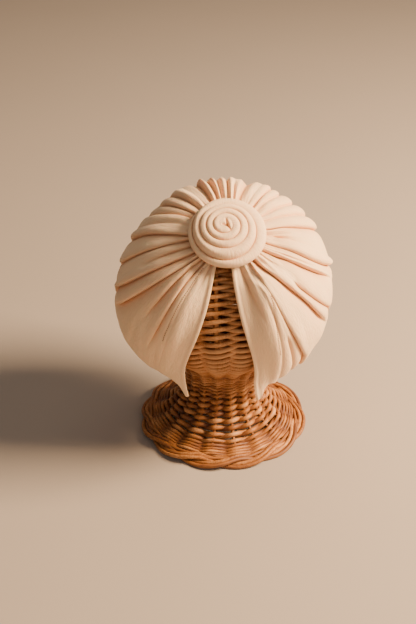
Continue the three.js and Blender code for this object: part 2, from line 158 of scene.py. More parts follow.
class Wire:
    # one socket of a tree; sums on it add Math nodes
    def __init__(self, tree, socket):
        self.tree, self.socket = tree, socket

    def maths(self, operation, *values):
        kind = "ShaderNodeMath"
        return self.tree.node(kind, {"operation": operation}, dict(enumerate(values)))

    def __add__(self, other):
        return self.maths("ADD", self, other)

    def __radd__(self, other):
        return self.maths("ADD", other, self)

    def __sub__(self, other):
        return self.maths("SUBTRACT", self, other)

    def __rsub__(self, other):
        return self.maths("SUBTRACT", other, self)

    def __mul__(self, other):
        return self.maths("MULTIPLY", self, other)

    def __rmul__(self, other):
        return self.maths("MULTIPLY", other, self)

    def __pow__(self, other):
        return self.maths("POWER", self, other)

    def clipped(self):
        return self.maths("MINIMUM", self.maths("MAXIMUM", self, 0.0), 1.0)


class Tree:
    # makes nodes in a material's or a geometry group's tree
    def __init__(self, tree):
        self.tree = tree

    def feed(self, socket, value):
        if isinstance(value, Wire):
            self.tree.links.new(value.socket, socket)
        else:
            socket.default_value = value

    def node(self, kind, settings=None, sockets=None, out=0):
        made = self.tree.nodes.new(kind)
        for setting, value in (settings or {}).items():
            if setting == "stops":
                ramp = made.color_ramp.elements
                while len(ramp) < len(value):
                    ramp.new(0.5)
                for element, (place, colour) in zip(ramp, value):
                    element.position, element.color = place, (*colour, 1)
            else:
                setattr(made, setting, value)
        for socket, value in (sockets or {}).items():
            self.feed(made.inputs[socket], value)
        return Wire(self, made.outputs[out])


class Finish(Tree):
    # a material with its Principled shader
    def __init__(self, name, **constants):
        self.material = bpy.data.materials.new(name)
        self.material.use_nodes = True
        super().__init__(self.material.node_tree)
        self.shader = self.tree.nodes["Principled BSDF"]
        for socket, value in constants.items():
            self.shader.inputs[socket.replace("_", " ")].default_value = value

    def give(self, socket, wire):
        self.feed(self.shader.inputs[socket], wire)

    def place(self, x, y, z=0.0):
        return self.node("ShaderNodeCombineXYZ", {}, {0: x, 1: y, 2: z})

    def parts(self, vector):
        split = self.node("ShaderNodeSeparateXYZ", {}, {0: vector}).socket.node
        return [Wire(self, output) for output in split.outputs]

    def noise(self, place, scale=1.0, detail=2.0, rough=0.5):
        sockets = {"Vector": place, "Scale": scale, "Detail": detail, "Roughness": rough}
        return self.node("ShaderNodeTexNoise", {}, sockets)

    def blend(self, share, a, b):
        return self.node("ShaderNodeMix", {"data_type": "RGBA"}, {0: share, 6: a, 7: b}, out=2)

    def mark(self, name, out="Fac"):
        return self.node("ShaderNodeAttribute", {"attribute_name": name}, out=out)

    def bump(self, height, distance, strength=1.0, normal=None):
        sockets = {"Height": height, "Distance": distance, "Strength": strength}
        if normal:
            sockets["Normal"] = normal
        return self.node("ShaderNodeBump", {}, sockets)


# finishes

jerseyLook = {
    "colour": (0.88, 0.605, 0.37),
    # painted shade: the cloth turns towards this warm brown in its folds and creases, following the fold
    # mark
    "foldShadeColour": (0.62, 0.26, 0.09),
    "foldShadeShare": 0.85,
    "foldShadePower": 1.2,
    "patchScale": 38.0,
    "patchy": 0.06,
    "slubScale": (90.0, 9.0),  # these pairs are cells in 100 mm of flat cloth, round and down
    "slubs": 0.10,
    "knitScale": (480.0, 300.0),
    "grain": 0.36,
    "loopScale": (150.0, 120.0),
    "ribsPerMm": 1.45,
    "ribHeight": 0.00010,
    "creaseScale": (85.0, 20.0),
    "creaseHeight": 0.0010,
    "glowRadius": (1.0, 0.45, 0.25),
    "glowScale": 0.004,
}


def jerseyFinish():
    look = jerseyLook
    made = Finish(
        "creamJersey",
        Roughness=0.86,
        Subsurface_Weight=0.22,
        Subsurface_Radius=look["glowRadius"],
        Subsurface_Scale=look["glowScale"],
        Sheen_Weight=0.12,
        Sheen_Roughness=0.45,
    )
    u, v, _ = made.parts(made.node("ShaderNodeUVMap", {"uv_map": "flatCloth"}))

    def clothNoise(scale, detail, rough=0.5):
        return made.noise(made.place(u * scale[0], v * scale[1]), 1.0, detail, rough)

    patches = made.noise(made.node("ShaderNodeTexCoord", {}, out="Object"), look["patchScale"], 3.0)
    slub = clothNoise(look["slubScale"], 2.0)
    knit = clothNoise(look["knitScale"], 2.0, 0.6)
    # painted shade in the folds and creases, from the fold mark that the crown and rosette carry
    paintedFoldShade = made.mark("fold") ** look["foldShadePower"] * look["foldShadeShare"]
    colour = made.blend(paintedFoldShade, (*look["colour"], 1), (*look["foldShadeColour"], 1))
    shade = (patches - 0.5) * (2 * look["patchy"]) + (slub - 0.5) * look["slubs"]
    shade = shade + (knit - 0.5) * look["grain"] + 1.0
    scaled = made.node("ShaderNodeVectorMath", {"operation": "SCALE"}, {0: colour, "Scale": shade})
    made.give("Base Color", scaled)
    phase = u * (look["ribsPerMm"] * 100 * 2 * math.pi)
    weave = phase.maths("SINE", phase) * 0.5 + clothNoise(look["loopScale"], 1.0) * 0.8
    soft = made.bump(clothNoise(look["creaseScale"], 3.0, 0.45), look["creaseHeight"], 0.55)
    made.give("Normal", made.bump(weave, look["ribHeight"], 0.8, soft))
    return made.material


rattanLook = {
    "pale": (0.58, 0.29, 0.115),
    "middle": (0.31, 0.113, 0.024),
    "dark": (0.14, 0.050, 0.022),
    "fibreScale": (70.0, 2.6, 37.0),  # cells in a metre of rod, cells across it, how far rods differ
    "streakScale": (22.0, 0.9, 91.0),
    "fibreShare": 0.35,
    "contrast": 1.6,
    "toneShare": 0.55,
    "fibreHeight": 0.00018,
}


def rattanFinish():
    look = rattanLook
    made = Finish("honeyRattan", Coat_Roughness=0.45, Specular_IOR_Level=0.3)
    along, tone = made.mark("along"), made.mark("tone")
    across, up, _ = made.parts(made.mark("around", "Vector"))

    def rodNoise(scale, detail, rough):
        place = made.place(along * scale[0] + tone * scale[2], across * scale[1], up * scale[1])
        return made.noise(place, 1.0, detail, rough)

    fibre = rodNoise(look["fibreScale"], 4.0, 0.6)
    streak = rodNoise(look["streakScale"], 3.0, 0.55)
    grain = fibre * look["fibreShare"] + streak * (1 - look["fibreShare"]) - 0.5
    mixed = grain * look["contrast"] + tone * look["toneShare"] + 0.22
    colour = made.node(
        "ShaderNodeValToRGB",
        {"stops": [(0.12, look["dark"]), (0.46, look["middle"]), (0.92, look["pale"])]},
        {0: mixed.clipped()},
    )
    made.give("Base Color", colour)
    made.give("Roughness", (fibre * 0.22 + 0.42).clipped())
    made.give("Coat Weight", (streak * 0.14).clipped())
    made.give("Normal", made.bump(fibre, look["fibreHeight"], 0.6))
    return made.material


threadLook = {
    "colours": [(0.33, 0.17, 0.09), (0.24, 0.11, 0.055)],
    "twistScale": 900.0,
    "twistHeight": 0.00008,
}


def threadFinish():
    made = Finish("brownThread", Roughness=0.7, Sheen_Weight=0.2)
    place = made.node("ShaderNodeTexCoord", {}, out="Object")
    twist = made.noise(place, threadLook["twistScale"])
    made.give("Base Color", made.blend(twist, *((*colour, 1) for colour in threadLook["colours"])))
    made.give("Normal", made.bump(twist, threadLook["twistHeight"]))
    return made.material


jersey, rattan, thread = jerseyFinish(), rattanFinish(), threadFinish()
print("finishes made")


# camera: the photograph's viewing angle

cameraPlace = {
    "at": (-12.8, -765, 585),  # from the stand's axis on the floor
    "tiltDown": 31.9,  # degrees
    "lens": 1100 / 624 * 36,  # 1100 pixels in a frame 624 high, on a sensor of 36 mm
}
camera = bpy.data.objects.new("camera", bpy.data.cameras.new("camera"))
bpy.context.scene.collection.objects.link(camera)
camera.location = inRow(cameraPlace["at"])
camera.rotation_euler = (math.radians(90 - cameraPlace["tiltDown"]), 0, 0)
camera.data.sensor_width = 36
camera.data.lens = cameraPlace["lens"]
camera.data.clip_start, camera.data.clip_end = 0.05, 20
bpy.context.scene.camera = camera


# the turban's crown

ballCentre = np.array([0, 0, 134.0])
crownSizes = {
    "ballRadius": 73.5,
    "seatRadius": 76.5,  # outside of cloth that lies flat on the ball
    "puff": 10.0,
    "pleatDepth": 5.0,
    "pleatWidth": 3.4,
    "wall": 1.7,
    "faceEdgeReach": 22,  # how far from a face edge its height passes into the ridge's
    "faceBead": (0.45, 1.0, 0.9),  # height, distance from the face edge and half width
    "beadGroove": (0.3, 3.1, 0.8),
    "gatherUp": 56,
    "gatherAside": 3,
    "gatherHole": 8,  # degrees, under the rosette
    "hemSlope": 0.13,
    "foldRise": 8,  # how much higher the hem is in the deepest folds
    "crestOut": 2.0,  # from a crease to the crest of the fold that lies over it
    "crestRise": 0.42,  # share of the crease's depth
    "overlap": 2.8,  # how far the deepest folds lie over their creases
    "liftFrom": (24, 42),  # where a ridge's own lift comes and goes, degrees from the gathering point
    "liftTo": (80, 110),
    "uprightAt": 182,  # where narrow folds stand up between broad valleys, how far round and how much
    "uprightSpread": 26,
    "uprightShare": 0.6,
    "valleyPower": 0.8,
    "flatRound": 0.0151,  # mm of flat cloth in a degree round, for each mm of the seat's radius
    "flatDown": 1.43,  # mm of flat cloth in a degree from the gathering point
    "columnsPerMm": 1.35,
    "rows": 125,
}

# Angle from the gathering point; ridge and face edge heights, shares of puff; angles round it of the
# right and left face edges.
sections = [
    (8, 0.45, 0.20, -4.5, -37.5),
    (14, 0.72, 0.35, -2.0, -35.5),
    (24, 0.75, 0.30, 0.3, -29.0),
    (32, 0.93, 0.18, 2.5, -26.0),
    (45, 0.97, 0.11, 5.4, -24.4),
    (60, 1.00, 0.11, 8.9, -25.1),
    (75, 1.00, 0.20, 11.7, -26.8),
    (85, 1.03, 0.50, 12.3, -27.4),
    (95, 1.10, 1.05, 11.8, -25.3),
    (104, 1.15, 1.85, 12.6, -21.5),
    (115, 1.05, 2.00, 14.0, -19.5),
    (150, 0.55, 2.00, 14.0, -19.5),
    (170, 0.20, 2.00, 14.0, -19.5),
]

# One crease a row, from the right face edge round the back to the left one: its angle at 20, 50 and
# 80 degrees from the gathering point, depth, start, end, width before, width after, lift of the ridge
# after it.
creases = np.array([
    (3, 7.6, 12, 0, 0, 180, 1, 1, 0),
    (14.6, 21.3, 22.5, 0.5, 15, 54, 1.3, 0.9, 0.05),
    (26.6, 27.6, 27.0, 0.28, 40, 125, 1.3, 1.1, 0.02),
    (30.2, 31.2, 33.4, 0.5, 64, 128, 0.8, 0.9, 0.12),
    (33, 34.6, 40.3, 0.85, 12, 126, 1.3, 0.4, 0.15),
    (44.7, 53.9, 61.2, 0.95, 12, 88, 1.5, 0.4, 0.1),
    (54.8, 58.8, 69.9, 0.6, 42, 118, 1.3, 0.5, 0.12),
    (66.5, 75.5, 85.9, 0.95, 12, 75, 1.4, 0.4, 0.05),
    (72.9, 77.9, 88.8, 0.35, 14, 55, 0.5, 0.5, 0.05),
    (82.5, 83, 95.9, 0.75, 16, 112, 1.2, 0.4, 0.3),
    (97.8, 91.2, 100.2, 0.55, 14, 45, 0.9, 0.8, 0.1),
    (107.9, 108.7, 117.3, 0.75, 14, 105, 1.2, 0.5, 0.25),
    (120.2, 119.8, 125.8, 0.5, 14, 101, 1.2, 0.7, 0.25),
    (130.1, 129.9, 136.8, 0.55, 14, 97, 1.1, 0.7, 0.2),
    (140.2, 140.1, 145.4, 0.5, 14, 93, 1, 0.6, 0),
    (147, 146.7, 150.3, 0.65, 14, 102, 0.7, 0.6, 0.15),
    (155.2, 152.5, 154.9, 0.35, 14, 46, 0.8, 0.8, 0.15),
    (166.1, 162.5, 163.5, 0.8, 14, 97, 1.2, 1.6, 0.1),
    (171.5, 170.7, 170.1, 0.4, 14, 60, 0.6, 0.6, 0.2),
    (177.9, 176.3, 174.8, 0.6, 14, 97, 0.7, 0.7, 0.2),
    (184.9, 183, 181.3, 0.55, 14, 93, 0.8, 0.7, 0.25),
    (188.9, 188.5, 187.9, 0.7, 14, 102, 0.8, 0.8, 0.3),
    (196.8, 194.8, 191.8, 0.75, 14, 99, 0.6, 1.6, 0),
    (205.2, 205.5, 199.6, 0.3, 14, 47, 0.9, 0.9, 0.3),
    (213.3, 212.2, 209.3, 0.6, 14, 95, 0.6, 1.5, 0.1),
    (221.9, 221.8, 215.4, 0.75, 14, 80, 0.6, 1.2, 0.05),
    (228.4, 232.5, 226.4, 0.75, 16, 96, 0.9, 0.6, 0.1),
    (242.1, 241.2, 238.5, 0.25, 14, 74, 0.8, 1.2, 0.2),
    (256.3, 250, 242, 0.85, 14, 92, 0.5, 1.4, 0.05),
    (262.7, 264.6, 257.5, 0.8, 14, 100, 0.5, 1.3, 0.05),
    (273.5, 274.3, 268.6, 0.65, 12, 54, 0.5, 1.5, 0.15),
    (284.9, 281.3, 272, 0.9, 12, 112, 0.4, 1.6, 0.15),
    (294.7, 290.8, 281.8, 0.9, 12, 97, 0.4, 1.7, 0),
    (300.3, 302.4, 300.2, 0.75, 12, 71, 0.6, 1.3, 0),
    (306.9, 311.5, 310.7, 0.65, 12, 86, 0.6, 1.1, 0),
    (313.8, 318.5, 319.6, 0.12, 14, 118, 0.9, 0.9, 0.1),
    (319.5, 325.5, 326.1, 0.5, 12, 35, 0.7, 0.9, 0),
    (331.2, 338, 336, 0, 0, 180, 1, 1, 0),
])
lastCrease = len(creases) - 1
# Where the cloth stands off the ball less or more: angle round, spread, share of the standing off, and
# the angle from the gathering point where that begins.
slack = [(230, 38, -0.3, 0), (288, 24, 0.2, 38)]
# How far the hem lies below the ball's middle: distance from the right or left face edge, drop.
rightHem = [
    (0, 64), (1.5, 68.5), (3.0, 69), (4.2, 64), (5.4, 55), (8, 50.5), (10.7, 48.3), (13, 48.6), (16, 51),
    (22, 51), (30, 50), (44, 51), (75, 60),
]
leftHem = [
    (0, 57), (1.5, 57.5), (2.6, 54.5), (3.8, 49.5), (5.8, 46.3), (8.1, 44), (12, 43), (18, 43), (26, 44),
    (40, 48), (75, 60),
]
# Short dents in the cloth: angle round, angle from the gathering point, half length and half width in
# mm, depth.
dents = [
    (275.5, 47, 7, 1.6, 1.6),
    (246, 40, 12, 1.3, 0.7),
    (209, 33, 9, 1.6, 0.8),
    (98, 30, 9, 1.5, 0.9),
    (47, 33, 14, 1.6, 0.5),
    (15.5, 44, 16, 3.0, 0.7),
    (330, 60, 34, 3.5, 0.5),
    (20, 84, 22, 2.2, 0.7),
    (316, 88, 26, 2.6, 0.8),
    (300, 80, 26, 3.2, 0.9),
]
seams = {
    "rows": [  # angle from the gathering point, angle round it
        [(22, 313.2), (31, 315.2), (38, 315.9), (46, 316.5), (57, 317.3), (68, 317.8)],
        [(36, 31.6), (46, 28.7), (52.5, 27.4), (59, 26.4), (72, 26.2)],
    ],
    "groove": 0.5,
    "thread": 0.8,
    "pitch": 1.8,
    "length": 1.15,  # of one stitch
    "lift": 0.2,
}


def looking(up, aside):
    up, aside = math.radians(up), math.radians(aside)
    return unit(np.array([math.sin(aside), -math.cos(up), math.sin(up)]))


gatherAxis = looking(crownSizes["gatherUp"], crownSizes["gatherAside"])
downAxis = unit(np.array([0, 0, -1.0]) + gatherAxis * gatherAxis[2])
rightAxis = np.cross(gatherAxis, downAxis)


def aroundBall(away, turn, radius):
    away, turn = np.radians(away), np.radians(turn)
    direction = (
        np.cos(away)[..., None] * gatherAxis
        + (np.sin(away) * np.cos(turn))[..., None] * downAxis
        + (np.sin(away) * np.sin(turn))[..., None] * rightAxis
    )
    return ballCentre + direction * radius[..., None]


def creaseAngle(which, away):
    near, middle, far = (creases[which, i] for i in range(3))
    t = (np.clip(away, 14, 90) - 50) / 30
    angle = middle + (far - near) / 2 * t + (far - 2 * middle + near) / 2 * t * t
    angle = np.where(which == 0, eased(away, sections, 3), angle)
    return np.where(which == lastCrease, 360 + eased(away, sections, 4), angle)


def clothAt(gap, share, away):
    # angle round the gathering point, radius, distance to the nearer face edge and how deep in a fold it is
    size = crownSizes
    start, end = creaseAngle(gap, away), creaseAngle(np.minimum(gap + 1, lastCrease), away)
    turn = mix(start, end, share)
    perDegree = size["seatRadius"] * np.sin(np.radians(away)) * math.radians(1)
    width = np.maximum((end - start) * perDegree, 0.01)
    toRight = perDegree * (turn - eased(away, sections, 3))
    toLeft = perDegree * (360 + eased(away, sections, 4) - turn)
    toEdge = np.minimum(toRight, toLeft)
    slackness = 1
    for at, spread, part, begins in slack:
        begun = smooth(begins - 10, begins + 10, away)
        slackness = slackness + part * np.exp(-(((turn - at) / spread) ** 2)) * begun
    ridge = eased(away, sections, 1) * slackness
    standOff = mix(eased(away, sections, 2), ridge, smooth(0, size["faceEdgeReach"], toEdge)) * size["puff"]
    lifted = smooth(*size["liftFrom"], away) * (1 - smooth(*size["liftTo"], away))
    standOff = standOff + creases[gap, 8] * size["pleatDepth"] * np.sin(np.pi * share) * lifted
    upright = np.exp(-(((turn - size["uprightAt"]) / size["uprightSpread"]) ** 4)) * size["uprightShare"]
    deep, slide = np.zeros_like(turn), np.zeros_like(turn)
    for side in (0, 1):
        which = np.minimum(gap + side, lastCrease)
        distance = (share if side == 0 else 1 - share) * width
        broad = creases[which, 7 - side]
        fade = smooth(creases[which, 4] - 4, creases[which, 4] + 4, away)
        fade = fade * (1 - smooth(creases[which, 5] - 22, creases[which, 5], away))
        depth = creases[which, 3] * size["pleatDepth"] * fade
        reach = np.minimum(broad * size["pleatWidth"], width / 3.2)
        rest = np.exp(-width / reach)
        sharp = (np.exp(-distance / reach) - rest) / (1 - rest)
        wave = np.abs(np.cos(np.pi * distance / width)) ** size["valleyPower"]
        valley = np.where(distance < width / 2, wave, 0)
        deep = deep + depth * mix(sharp, valley, upright)
        steep = np.clip((0.95 - broad) / 0.5, 0, 1)
        near = distance / size["crestOut"]
        hump = near * np.exp(1 - near) * steep * np.clip(width / 6, 0, 1)
        standOff = standOff + hump * depth * size["crestRise"]
        slide = slide + (2 * side - 1) * hump * depth / size["pleatDepth"] * size["overlap"]
    across, down = turn * size["seatRadius"] * size["flatRound"], away * size["flatDown"]
    free = smooth(2, 14, toEdge)
    # fine gathers round the rosette, then a soft unevenness all over
    gathers = 1.1 - 2.6 * np.abs(softNoise(turn / 4.3, away / 19, 3))
    gathers = gathers + softNoise(turn / 1.6, away / 13, 4) * 0.35
    ripple = gathers * smooth(12, 20, away) * (1 - smooth(22, 44, away)) * free
    ripple = ripple + softNoise(across / 7.5, down / 46, 5) * 0.55
    ripple = ripple + softNoise(across / 3.6, down / 30, 6) * 0.2
    ripple = ripple + softNoise(across / 16, down / 24, 8) * 0.5 * free
    for dentTurn, dentAway, long, wide, dentDepth in dents:
        along = (away - dentAway) * size["flatDown"] / long
        beside = (turn - dentTurn) * perDegree / wide
        ripple = ripple - dentDepth * np.exp(-(along**2) - beside**2)
    turned = turn + np.where((gap == 0) | (gap == lastCrease - 1), 0, slide) / perDegree
    for seam in seams["rows"]:
        first, last = seam[0][0], seam[-1][0]
        there = smooth(first - 2, first + 2, away) * (1 - smooth(last - 6, last, away))
        beside = (turned - eased(away, seam, 1)) * perDegree
        groove = np.exp(-((beside / 1.1) ** 2)) - 0.5 * np.exp(-((beside / 2.6) ** 2))
        ripple = ripple - there * seams["groove"] * groove
    beads = [
        height * np.exp(-(((toEdge - at) / wide) ** 2))
        for height, at, wide in (size["faceBead"], size["beadGroove"])
    ]
    bead = beads[0] - beads[1]
    radius = size["seatRadius"] + np.maximum(standOff + ripple + bead - deep, 0.15 * ripple)
    return turned, radius, toEdge, np.clip(deep / size["pleatDepth"], 0, 1)


def crownColumns():
    # counted where the cloth is 60 degrees from the gathering point
    gaps, shares = [], []
    sixty = np.array([60.0])
    for gap in range(lastCrease):
        ends = [creaseAngle(np.array([gap + i]), sixty)[0] for i in (0, 1)]
        wide = (ends[1] - ends[0]) * crownSizes["seatRadius"] * math.radians(1) * 0.87
        count = 2 * max(4, round(wide * crownSizes["columnsPerMm"] / 2))
        t = np.arange(count) / count
        gaps += [gap] * count
        shares += list(mix(t, (1 - np.cos(np.pi * t)) / 2, 0.55))
    return np.array(gaps + [lastCrease - 1]), np.array(shares + [1.0])


def hemAngles(gaps, shares):
    # the angle from the gathering point at which each column reaches the hem
    size = crownSizes
    away = np.arange(70, 168, 0.2)[:, None] + np.zeros(len(gaps))
    turn, radius, toEdge, fold = clothAt(gaps[None, :], shares[None, :], away)
    point = aroundBall(away, turn, radius)
    drop = np.where(turn < 180, eased(toEdge, rightHem, 1), eased(toEdge, leftHem, 1))
    drop = drop - size["foldRise"] * fold * smooth(4, 12, toEdge)
    below = point[..., 2] - ballCentre[2] < size["hemSlope"] * point[..., 1] - drop
    found = away[np.argmax(below, axis=0), 0]
    return np.convolve(np.pad(found, 1, mode="edge"), np.array([0.2, 0.6, 0.2]), "valid")


def gridFaces(rows, columns, first=0):
    at = first + np.arange(rows * columns).reshape(rows, columns)
    return np.stack([at[:-1, :-1], at[1:, :-1], at[1:, 1:], at[:-1, 1:]], -1).reshape(-1, 4)


def roundTheGrid(rows, columns):
    # the places of a grid's edge points, in order round it
    top = [(0, c) for c in range(columns - 1)]
    right = [(r, columns - 1) for r in range(rows - 1)]
    bottom = [(rows - 1, c) for c in range(columns - 1, 0, -1)]
    left = [(r, 0) for r in range(rows - 1, 0, -1)]
    return np.array(top + right + bottom + left)


def crown():
    size = crownSizes
    gaps, shares = crownColumns()
    hems = hemAngles(gaps, shares)
    rows, columns = size["rows"], len(gaps)
    down = np.linspace(0, 1, rows)[:, None]
    away = mix(size["gatherHole"], hems[None, :], down)
    turn, radius, toEdge, fold = clothAt(gaps[None, :], shares[None, :], away)
    outside = aroundBall(away, turn, radius)
    lowest = np.minimum.reduce([np.roll(radius, k, 1) for k in (-2, -1, 0, 1, 2)])
    lowest[:, :2], lowest[:, -2:] = radius[:, :2], radius[:, -2:]
    lowest[0], lowest[-1] = radius[0], radius[-1]
    inner = aroundBall(away, turn, np.maximum(lowest - size["wall"], size["ballRadius"] + 0.4))[::2, ::2]

    edge = roundTheGrid(rows, columns)
    here = outside[edge[:, 0], edge[:, 1]]
    inward = np.clip(edge, 1, [rows - 2, columns - 2])
    radial = unit(here - ballCentre)
    sideways = here - outside[inward[:, 0], inward[:, 1]]
    sideways = unit(sideways - radial * np.einsum("ij,ij->i", sideways, radial)[:, None])
    half = size["wall"] / 2  # the cloth's edge is a half round from the outside to the inside
    rings = []
    for angle in np.radians([35, 70, 110, 145]):
        rings.append(here - radial * half + half * (math.cos(angle) * radial + math.sin(angle) * sideways))

    points = np.concatenate([outside.reshape(-1, 3), inner.reshape(-1, 3), *rings])
    innerFirst = rows * columns
    innerRows, innerColumns = inner.shape[:2]
    faces = [gridFaces(rows, columns), gridFaces(innerRows, innerColumns, innerFirst)[:, ::-1]]
    loops = [edge[:, 0] * columns + edge[:, 1]]
    ringFirst = innerFirst + innerRows * innerColumns
    for k in range(len(rings)):
        loops.append(ringFirst + k * len(edge) + np.arange(len(edge)))
    for a, b in zip(loops, loops[1:]):
        faces.append(np.stack([a, np.roll(a, -1), np.roll(b, -1), b], -1))
    coarse = roundTheGrid(innerRows, innerColumns)
    coarse = innerFirst + coarse[:, 0] * innerColumns + coarse[:, 1]
    fine, following = loops[-1], np.roll(coarse, -1)
    first, middle, last = fine[::2], fine[1::2], np.roll(fine[::2], -1)
    faces.append(
        np.concatenate([
            np.stack([first, middle, coarse], -1),
            np.stack([middle, following, coarse], -1),
            np.stack([middle, last, following], -1),
        ])
    )
    flatU = (turn - 3) * size["seatRadius"] * size["flatRound"] / 100
    flatV = away * size["flatDown"] / 100
    flatMap = np.stack([flatU, flatV], -1)
    edgeMap = flatMap[edge[:, 0], edge[:, 1]]
    insideMap = flatMap[::2, ::2].reshape(-1, 2)
    flatMap = np.concatenate([flatMap.reshape(-1, 2), insideMap] + [edgeMap] * len(rings))
    # the fold mark, how deep the cloth lies in a fold, sets the painted shade in the creases
    edgeFoldShade = fold[edge[:, 0], edge[:, 1]]
    foldShadeMark = np.concatenate([fold.ravel(), fold[::2, ::2].ravel()] + [edgeFoldShade] * len(rings))
    piece = meshPiece("turbanCrown", points, faces, jersey, flatMap, {"fold": foldShadeMark})
    return settle(piece, "jersey", "turban_crown")


crownPiece = crown()
print("crown made")


# the rosette

rosetteSizes = {
    "up": 59,
    "aside": 1.1,
    "radius": 29,
    "height": 9.8,
    "offCentre": (-2.8, 0.8),  # where the coil's middle lies
    "seat": 84.3,  # from the ball's centre to the cloth that it lies on
    "firstTurn": 0.1,  # where the coil starts, in turns clockwise from the right
    "stepsPerTurn": 96,
    "across": 18,
    "domePower": 0.72,  # below 1 the roll is fuller than half a sine wave
    # painted shade in the coil's crevices: its strength, and how far in mm it reaches from a crease
    "foldShadeMark": 0.85,
    "foldShadeWidth": 0.9,
    "tuckDepth": 2.6,
    "tuckWidth": 0.8,
}
# The short creases where the coil's inner end is tucked in: their two ends, in mm from the middle.
centreTuck = [
    (-0.4, 0.1, -1.2, 5.2),
    (-0.4, 0.1, -3.7, 0.3),
    (-0.4, 0.1, 1.5, -3.6),
]
# Turn; its crease's radius, share of the rosette's; heights of the crease and of the roll inside it,
# shares of the rosette's.
rollTurns = [
    (0, 0.000, 0.97, 0.97),
    (0.5, 0.080, 0.98, 0.98),
    (1, 0.185, 0.97, 1.00),
    (1.3, 0.240, 0.80, 1.00),
    (2, 0.370, 0.76, 1.00),
    (3, 0.555, 0.70, 0.97),
    (3.7, 0.680, 0.64, 0.92),
    (4.1, 0.755, 0.52, 0.88),
    (4.35, 0.855, 0.26, 0.85),
    (4.6, 0.875, 0.12, 0.80),
    (4.85, 1.000, 0.19, 0.74),
    (5.1, 1.000, 0.19, 0.66),
    (5.35, 1.000, 0.19, 0.52),
    (5.6, 1.000, 0.19, 0.42),
    (5.85, 1.000, 0.19, 0.34),
]


def rosette():
    size = rosetteSizes
    axis = looking(size["up"], size["aside"])
    right = unit(np.cross([0, 0, 1.0], axis))
    top = np.cross(axis, right)
    perTurn, across = size["stepsPerTurn"], size["across"]
    steps = round(rollTurns[-1][0] * perTurn)
    turn = np.arange(steps + 1) / perTurn
    creaseRadius = eased(turn, rollTurns, 1) * size["radius"]
    creaseHeight = eased(turn, rollTurns, 2) * size["height"]
    crest = eased(turn, rollTurns, 3) * size["height"]
    points, marks, flat = [], [], []

    def add(radius, step, height, fold, u, v):
        angle = -(step / perTurn - size["firstTurn"]) * 2 * math.pi
        off = 1 - (radius / size["radius"]) ** 1.5 if height > 0.3 else 0
        x = radius * math.cos(angle) + off * size["offCentre"][0]
        y = radius * math.sin(angle) + off * size["offCentre"][1]
        for x0, y0, x1, y1 in centreTuck:
            run = (x - x0) * (x1 - x0) + (y - y0) * (y1 - y0)
            reach = np.clip(run / math.hypot(x1 - x0, y1 - y0) ** 2, 0, 1)
            near = math.hypot(x - mix(x0, x1, reach), y - mix(y0, y1, reach)) / size["tuckWidth"]
            if height > 4:
                height -= size["tuckDepth"] * math.exp(-(near**2)) * (1 - 0.6 * reach)
                # painted shade along the tuck's crease
                fold = max(fold, 0.9 * math.exp(-(near**2)))
        seat = math.sqrt(size["seat"] ** 2 - radius**2) + height
        points.append(ballCentre + axis * seat + right * x + top * y)
        marks.append(fold)
        flat.append((u, v))
        return len(points) - 1

    arc = np.concatenate([[0], np.cumsum(2 * np.pi / perTurn * np.maximum(creaseRadius[1:] - 2, 1.5))])
    shown = smooth(1.0, 1.35, turn) * (turn < turn[-1] - 1)  # the innermost turn is one smooth mound
    centre = add(0, 0, creaseHeight[0], 0, 0, 0)
    # the crease line carries painted shade
    line = [centre] + [
        add(creaseRadius[s], s, creaseHeight[s], size["foldShadeMark"] * shown[s], arc[s] / 100, 0)
        for s in range(1, steps)
    ]
    line.append(line[steps - perTurn])
    strips = []
    for s in range(steps + 1):
        inside = s - perTurn
        r0, h0 = (creaseRadius[inside], creaseHeight[inside]) if inside > 0 else (0, creaseHeight[0])
        r1, h1 = creaseRadius[s], creaseHeight[s]
        row = [line[inside] if inside > 0 else centre]
        wide = r1 - r0
        full = smooth(0, 2.5, wide)
        for i in range(1, across):
            t = i / across
            v = math.pi * t
            radius = mix(r0, r1, (1 - math.cos(v)) / 2)
            dome = math.sin(v) ** size["domePower"]
            low = mix(h0, h1, t)
            lines = 0.16 * math.sin(v) * float(softNoise(np.array(t * 5.0), np.array(arc[s] / 22), 11))
            lines += 0.22 * math.sin(v) * float(softNoise(np.array(t * 1.5), np.array(arc[s] / 9), 12))
            height = mix(low, max(crest[s], low), dome * full) + lines * full * (1 if inside > 0 else 0.4)
            # painted shade, strongest at the crevices between the coil's rolls
            fold = size["foldShadeMark"] * math.exp(-min(t, 1 - t) * wide / size["foldShadeWidth"])
            fold *= shown[max(inside, 0) if t < 0.5 else s]
            row.append(add(radius, s, height, fold, arc[s] / 100, t * 0.12) if 0 < s < steps else row[0])
        row.append(line[s])
        strips.append(row)
    triangles = []

    def triangle(a, b, c):
        if a != b and b != c and a != c:
            triangles.append((a, b, c))

    for s in range(steps):
        for a, b, c, d in zip(strips[s], strips[s][1:], strips[s + 1][1:], strips[s + 1]):
            triangle(a, c, b)
            triangle(a, d, c)
    rimStart = steps - perTurn
    ring = line[rimStart:steps]
    # round the rim and in under the rosette: share of its radius, height. These points and the middle
    # underneath carry painted shade of half strength.
    for share, height in ((1.003, 1.1), (0.995, 0.5), (0.97, 0.12), (0.85, 0), (0.6, 0), (0.3, 0)):
        following = [
            add(size["radius"] * share, rimStart + i, height, 0.5, arc[rimStart + i] / 100, 0.1)
            for i in range(perTurn)
        ]
        for i in range(perTurn):
            j = (i + 1) % perTurn
            triangle(ring[i], ring[j], following[j])
            triangle(ring[i], following[j], following[i])
        ring = following
    middle = add(0, 0, 0, 0.5, 0, 0)
    for i in range(perTurn):
        triangle(ring[i], ring[(i + 1) % perTurn], middle)
    faces = [np.array(triangles)]
    piece = meshPiece("turbanRosette", np.array(points), faces, jersey, flat, {"fold": marks})
    return settle(piece, "jersey", "turban_rosette")


rosettePiece = rosette()
print("rosette made")


# swept rods and stitches, in Geometry Nodes

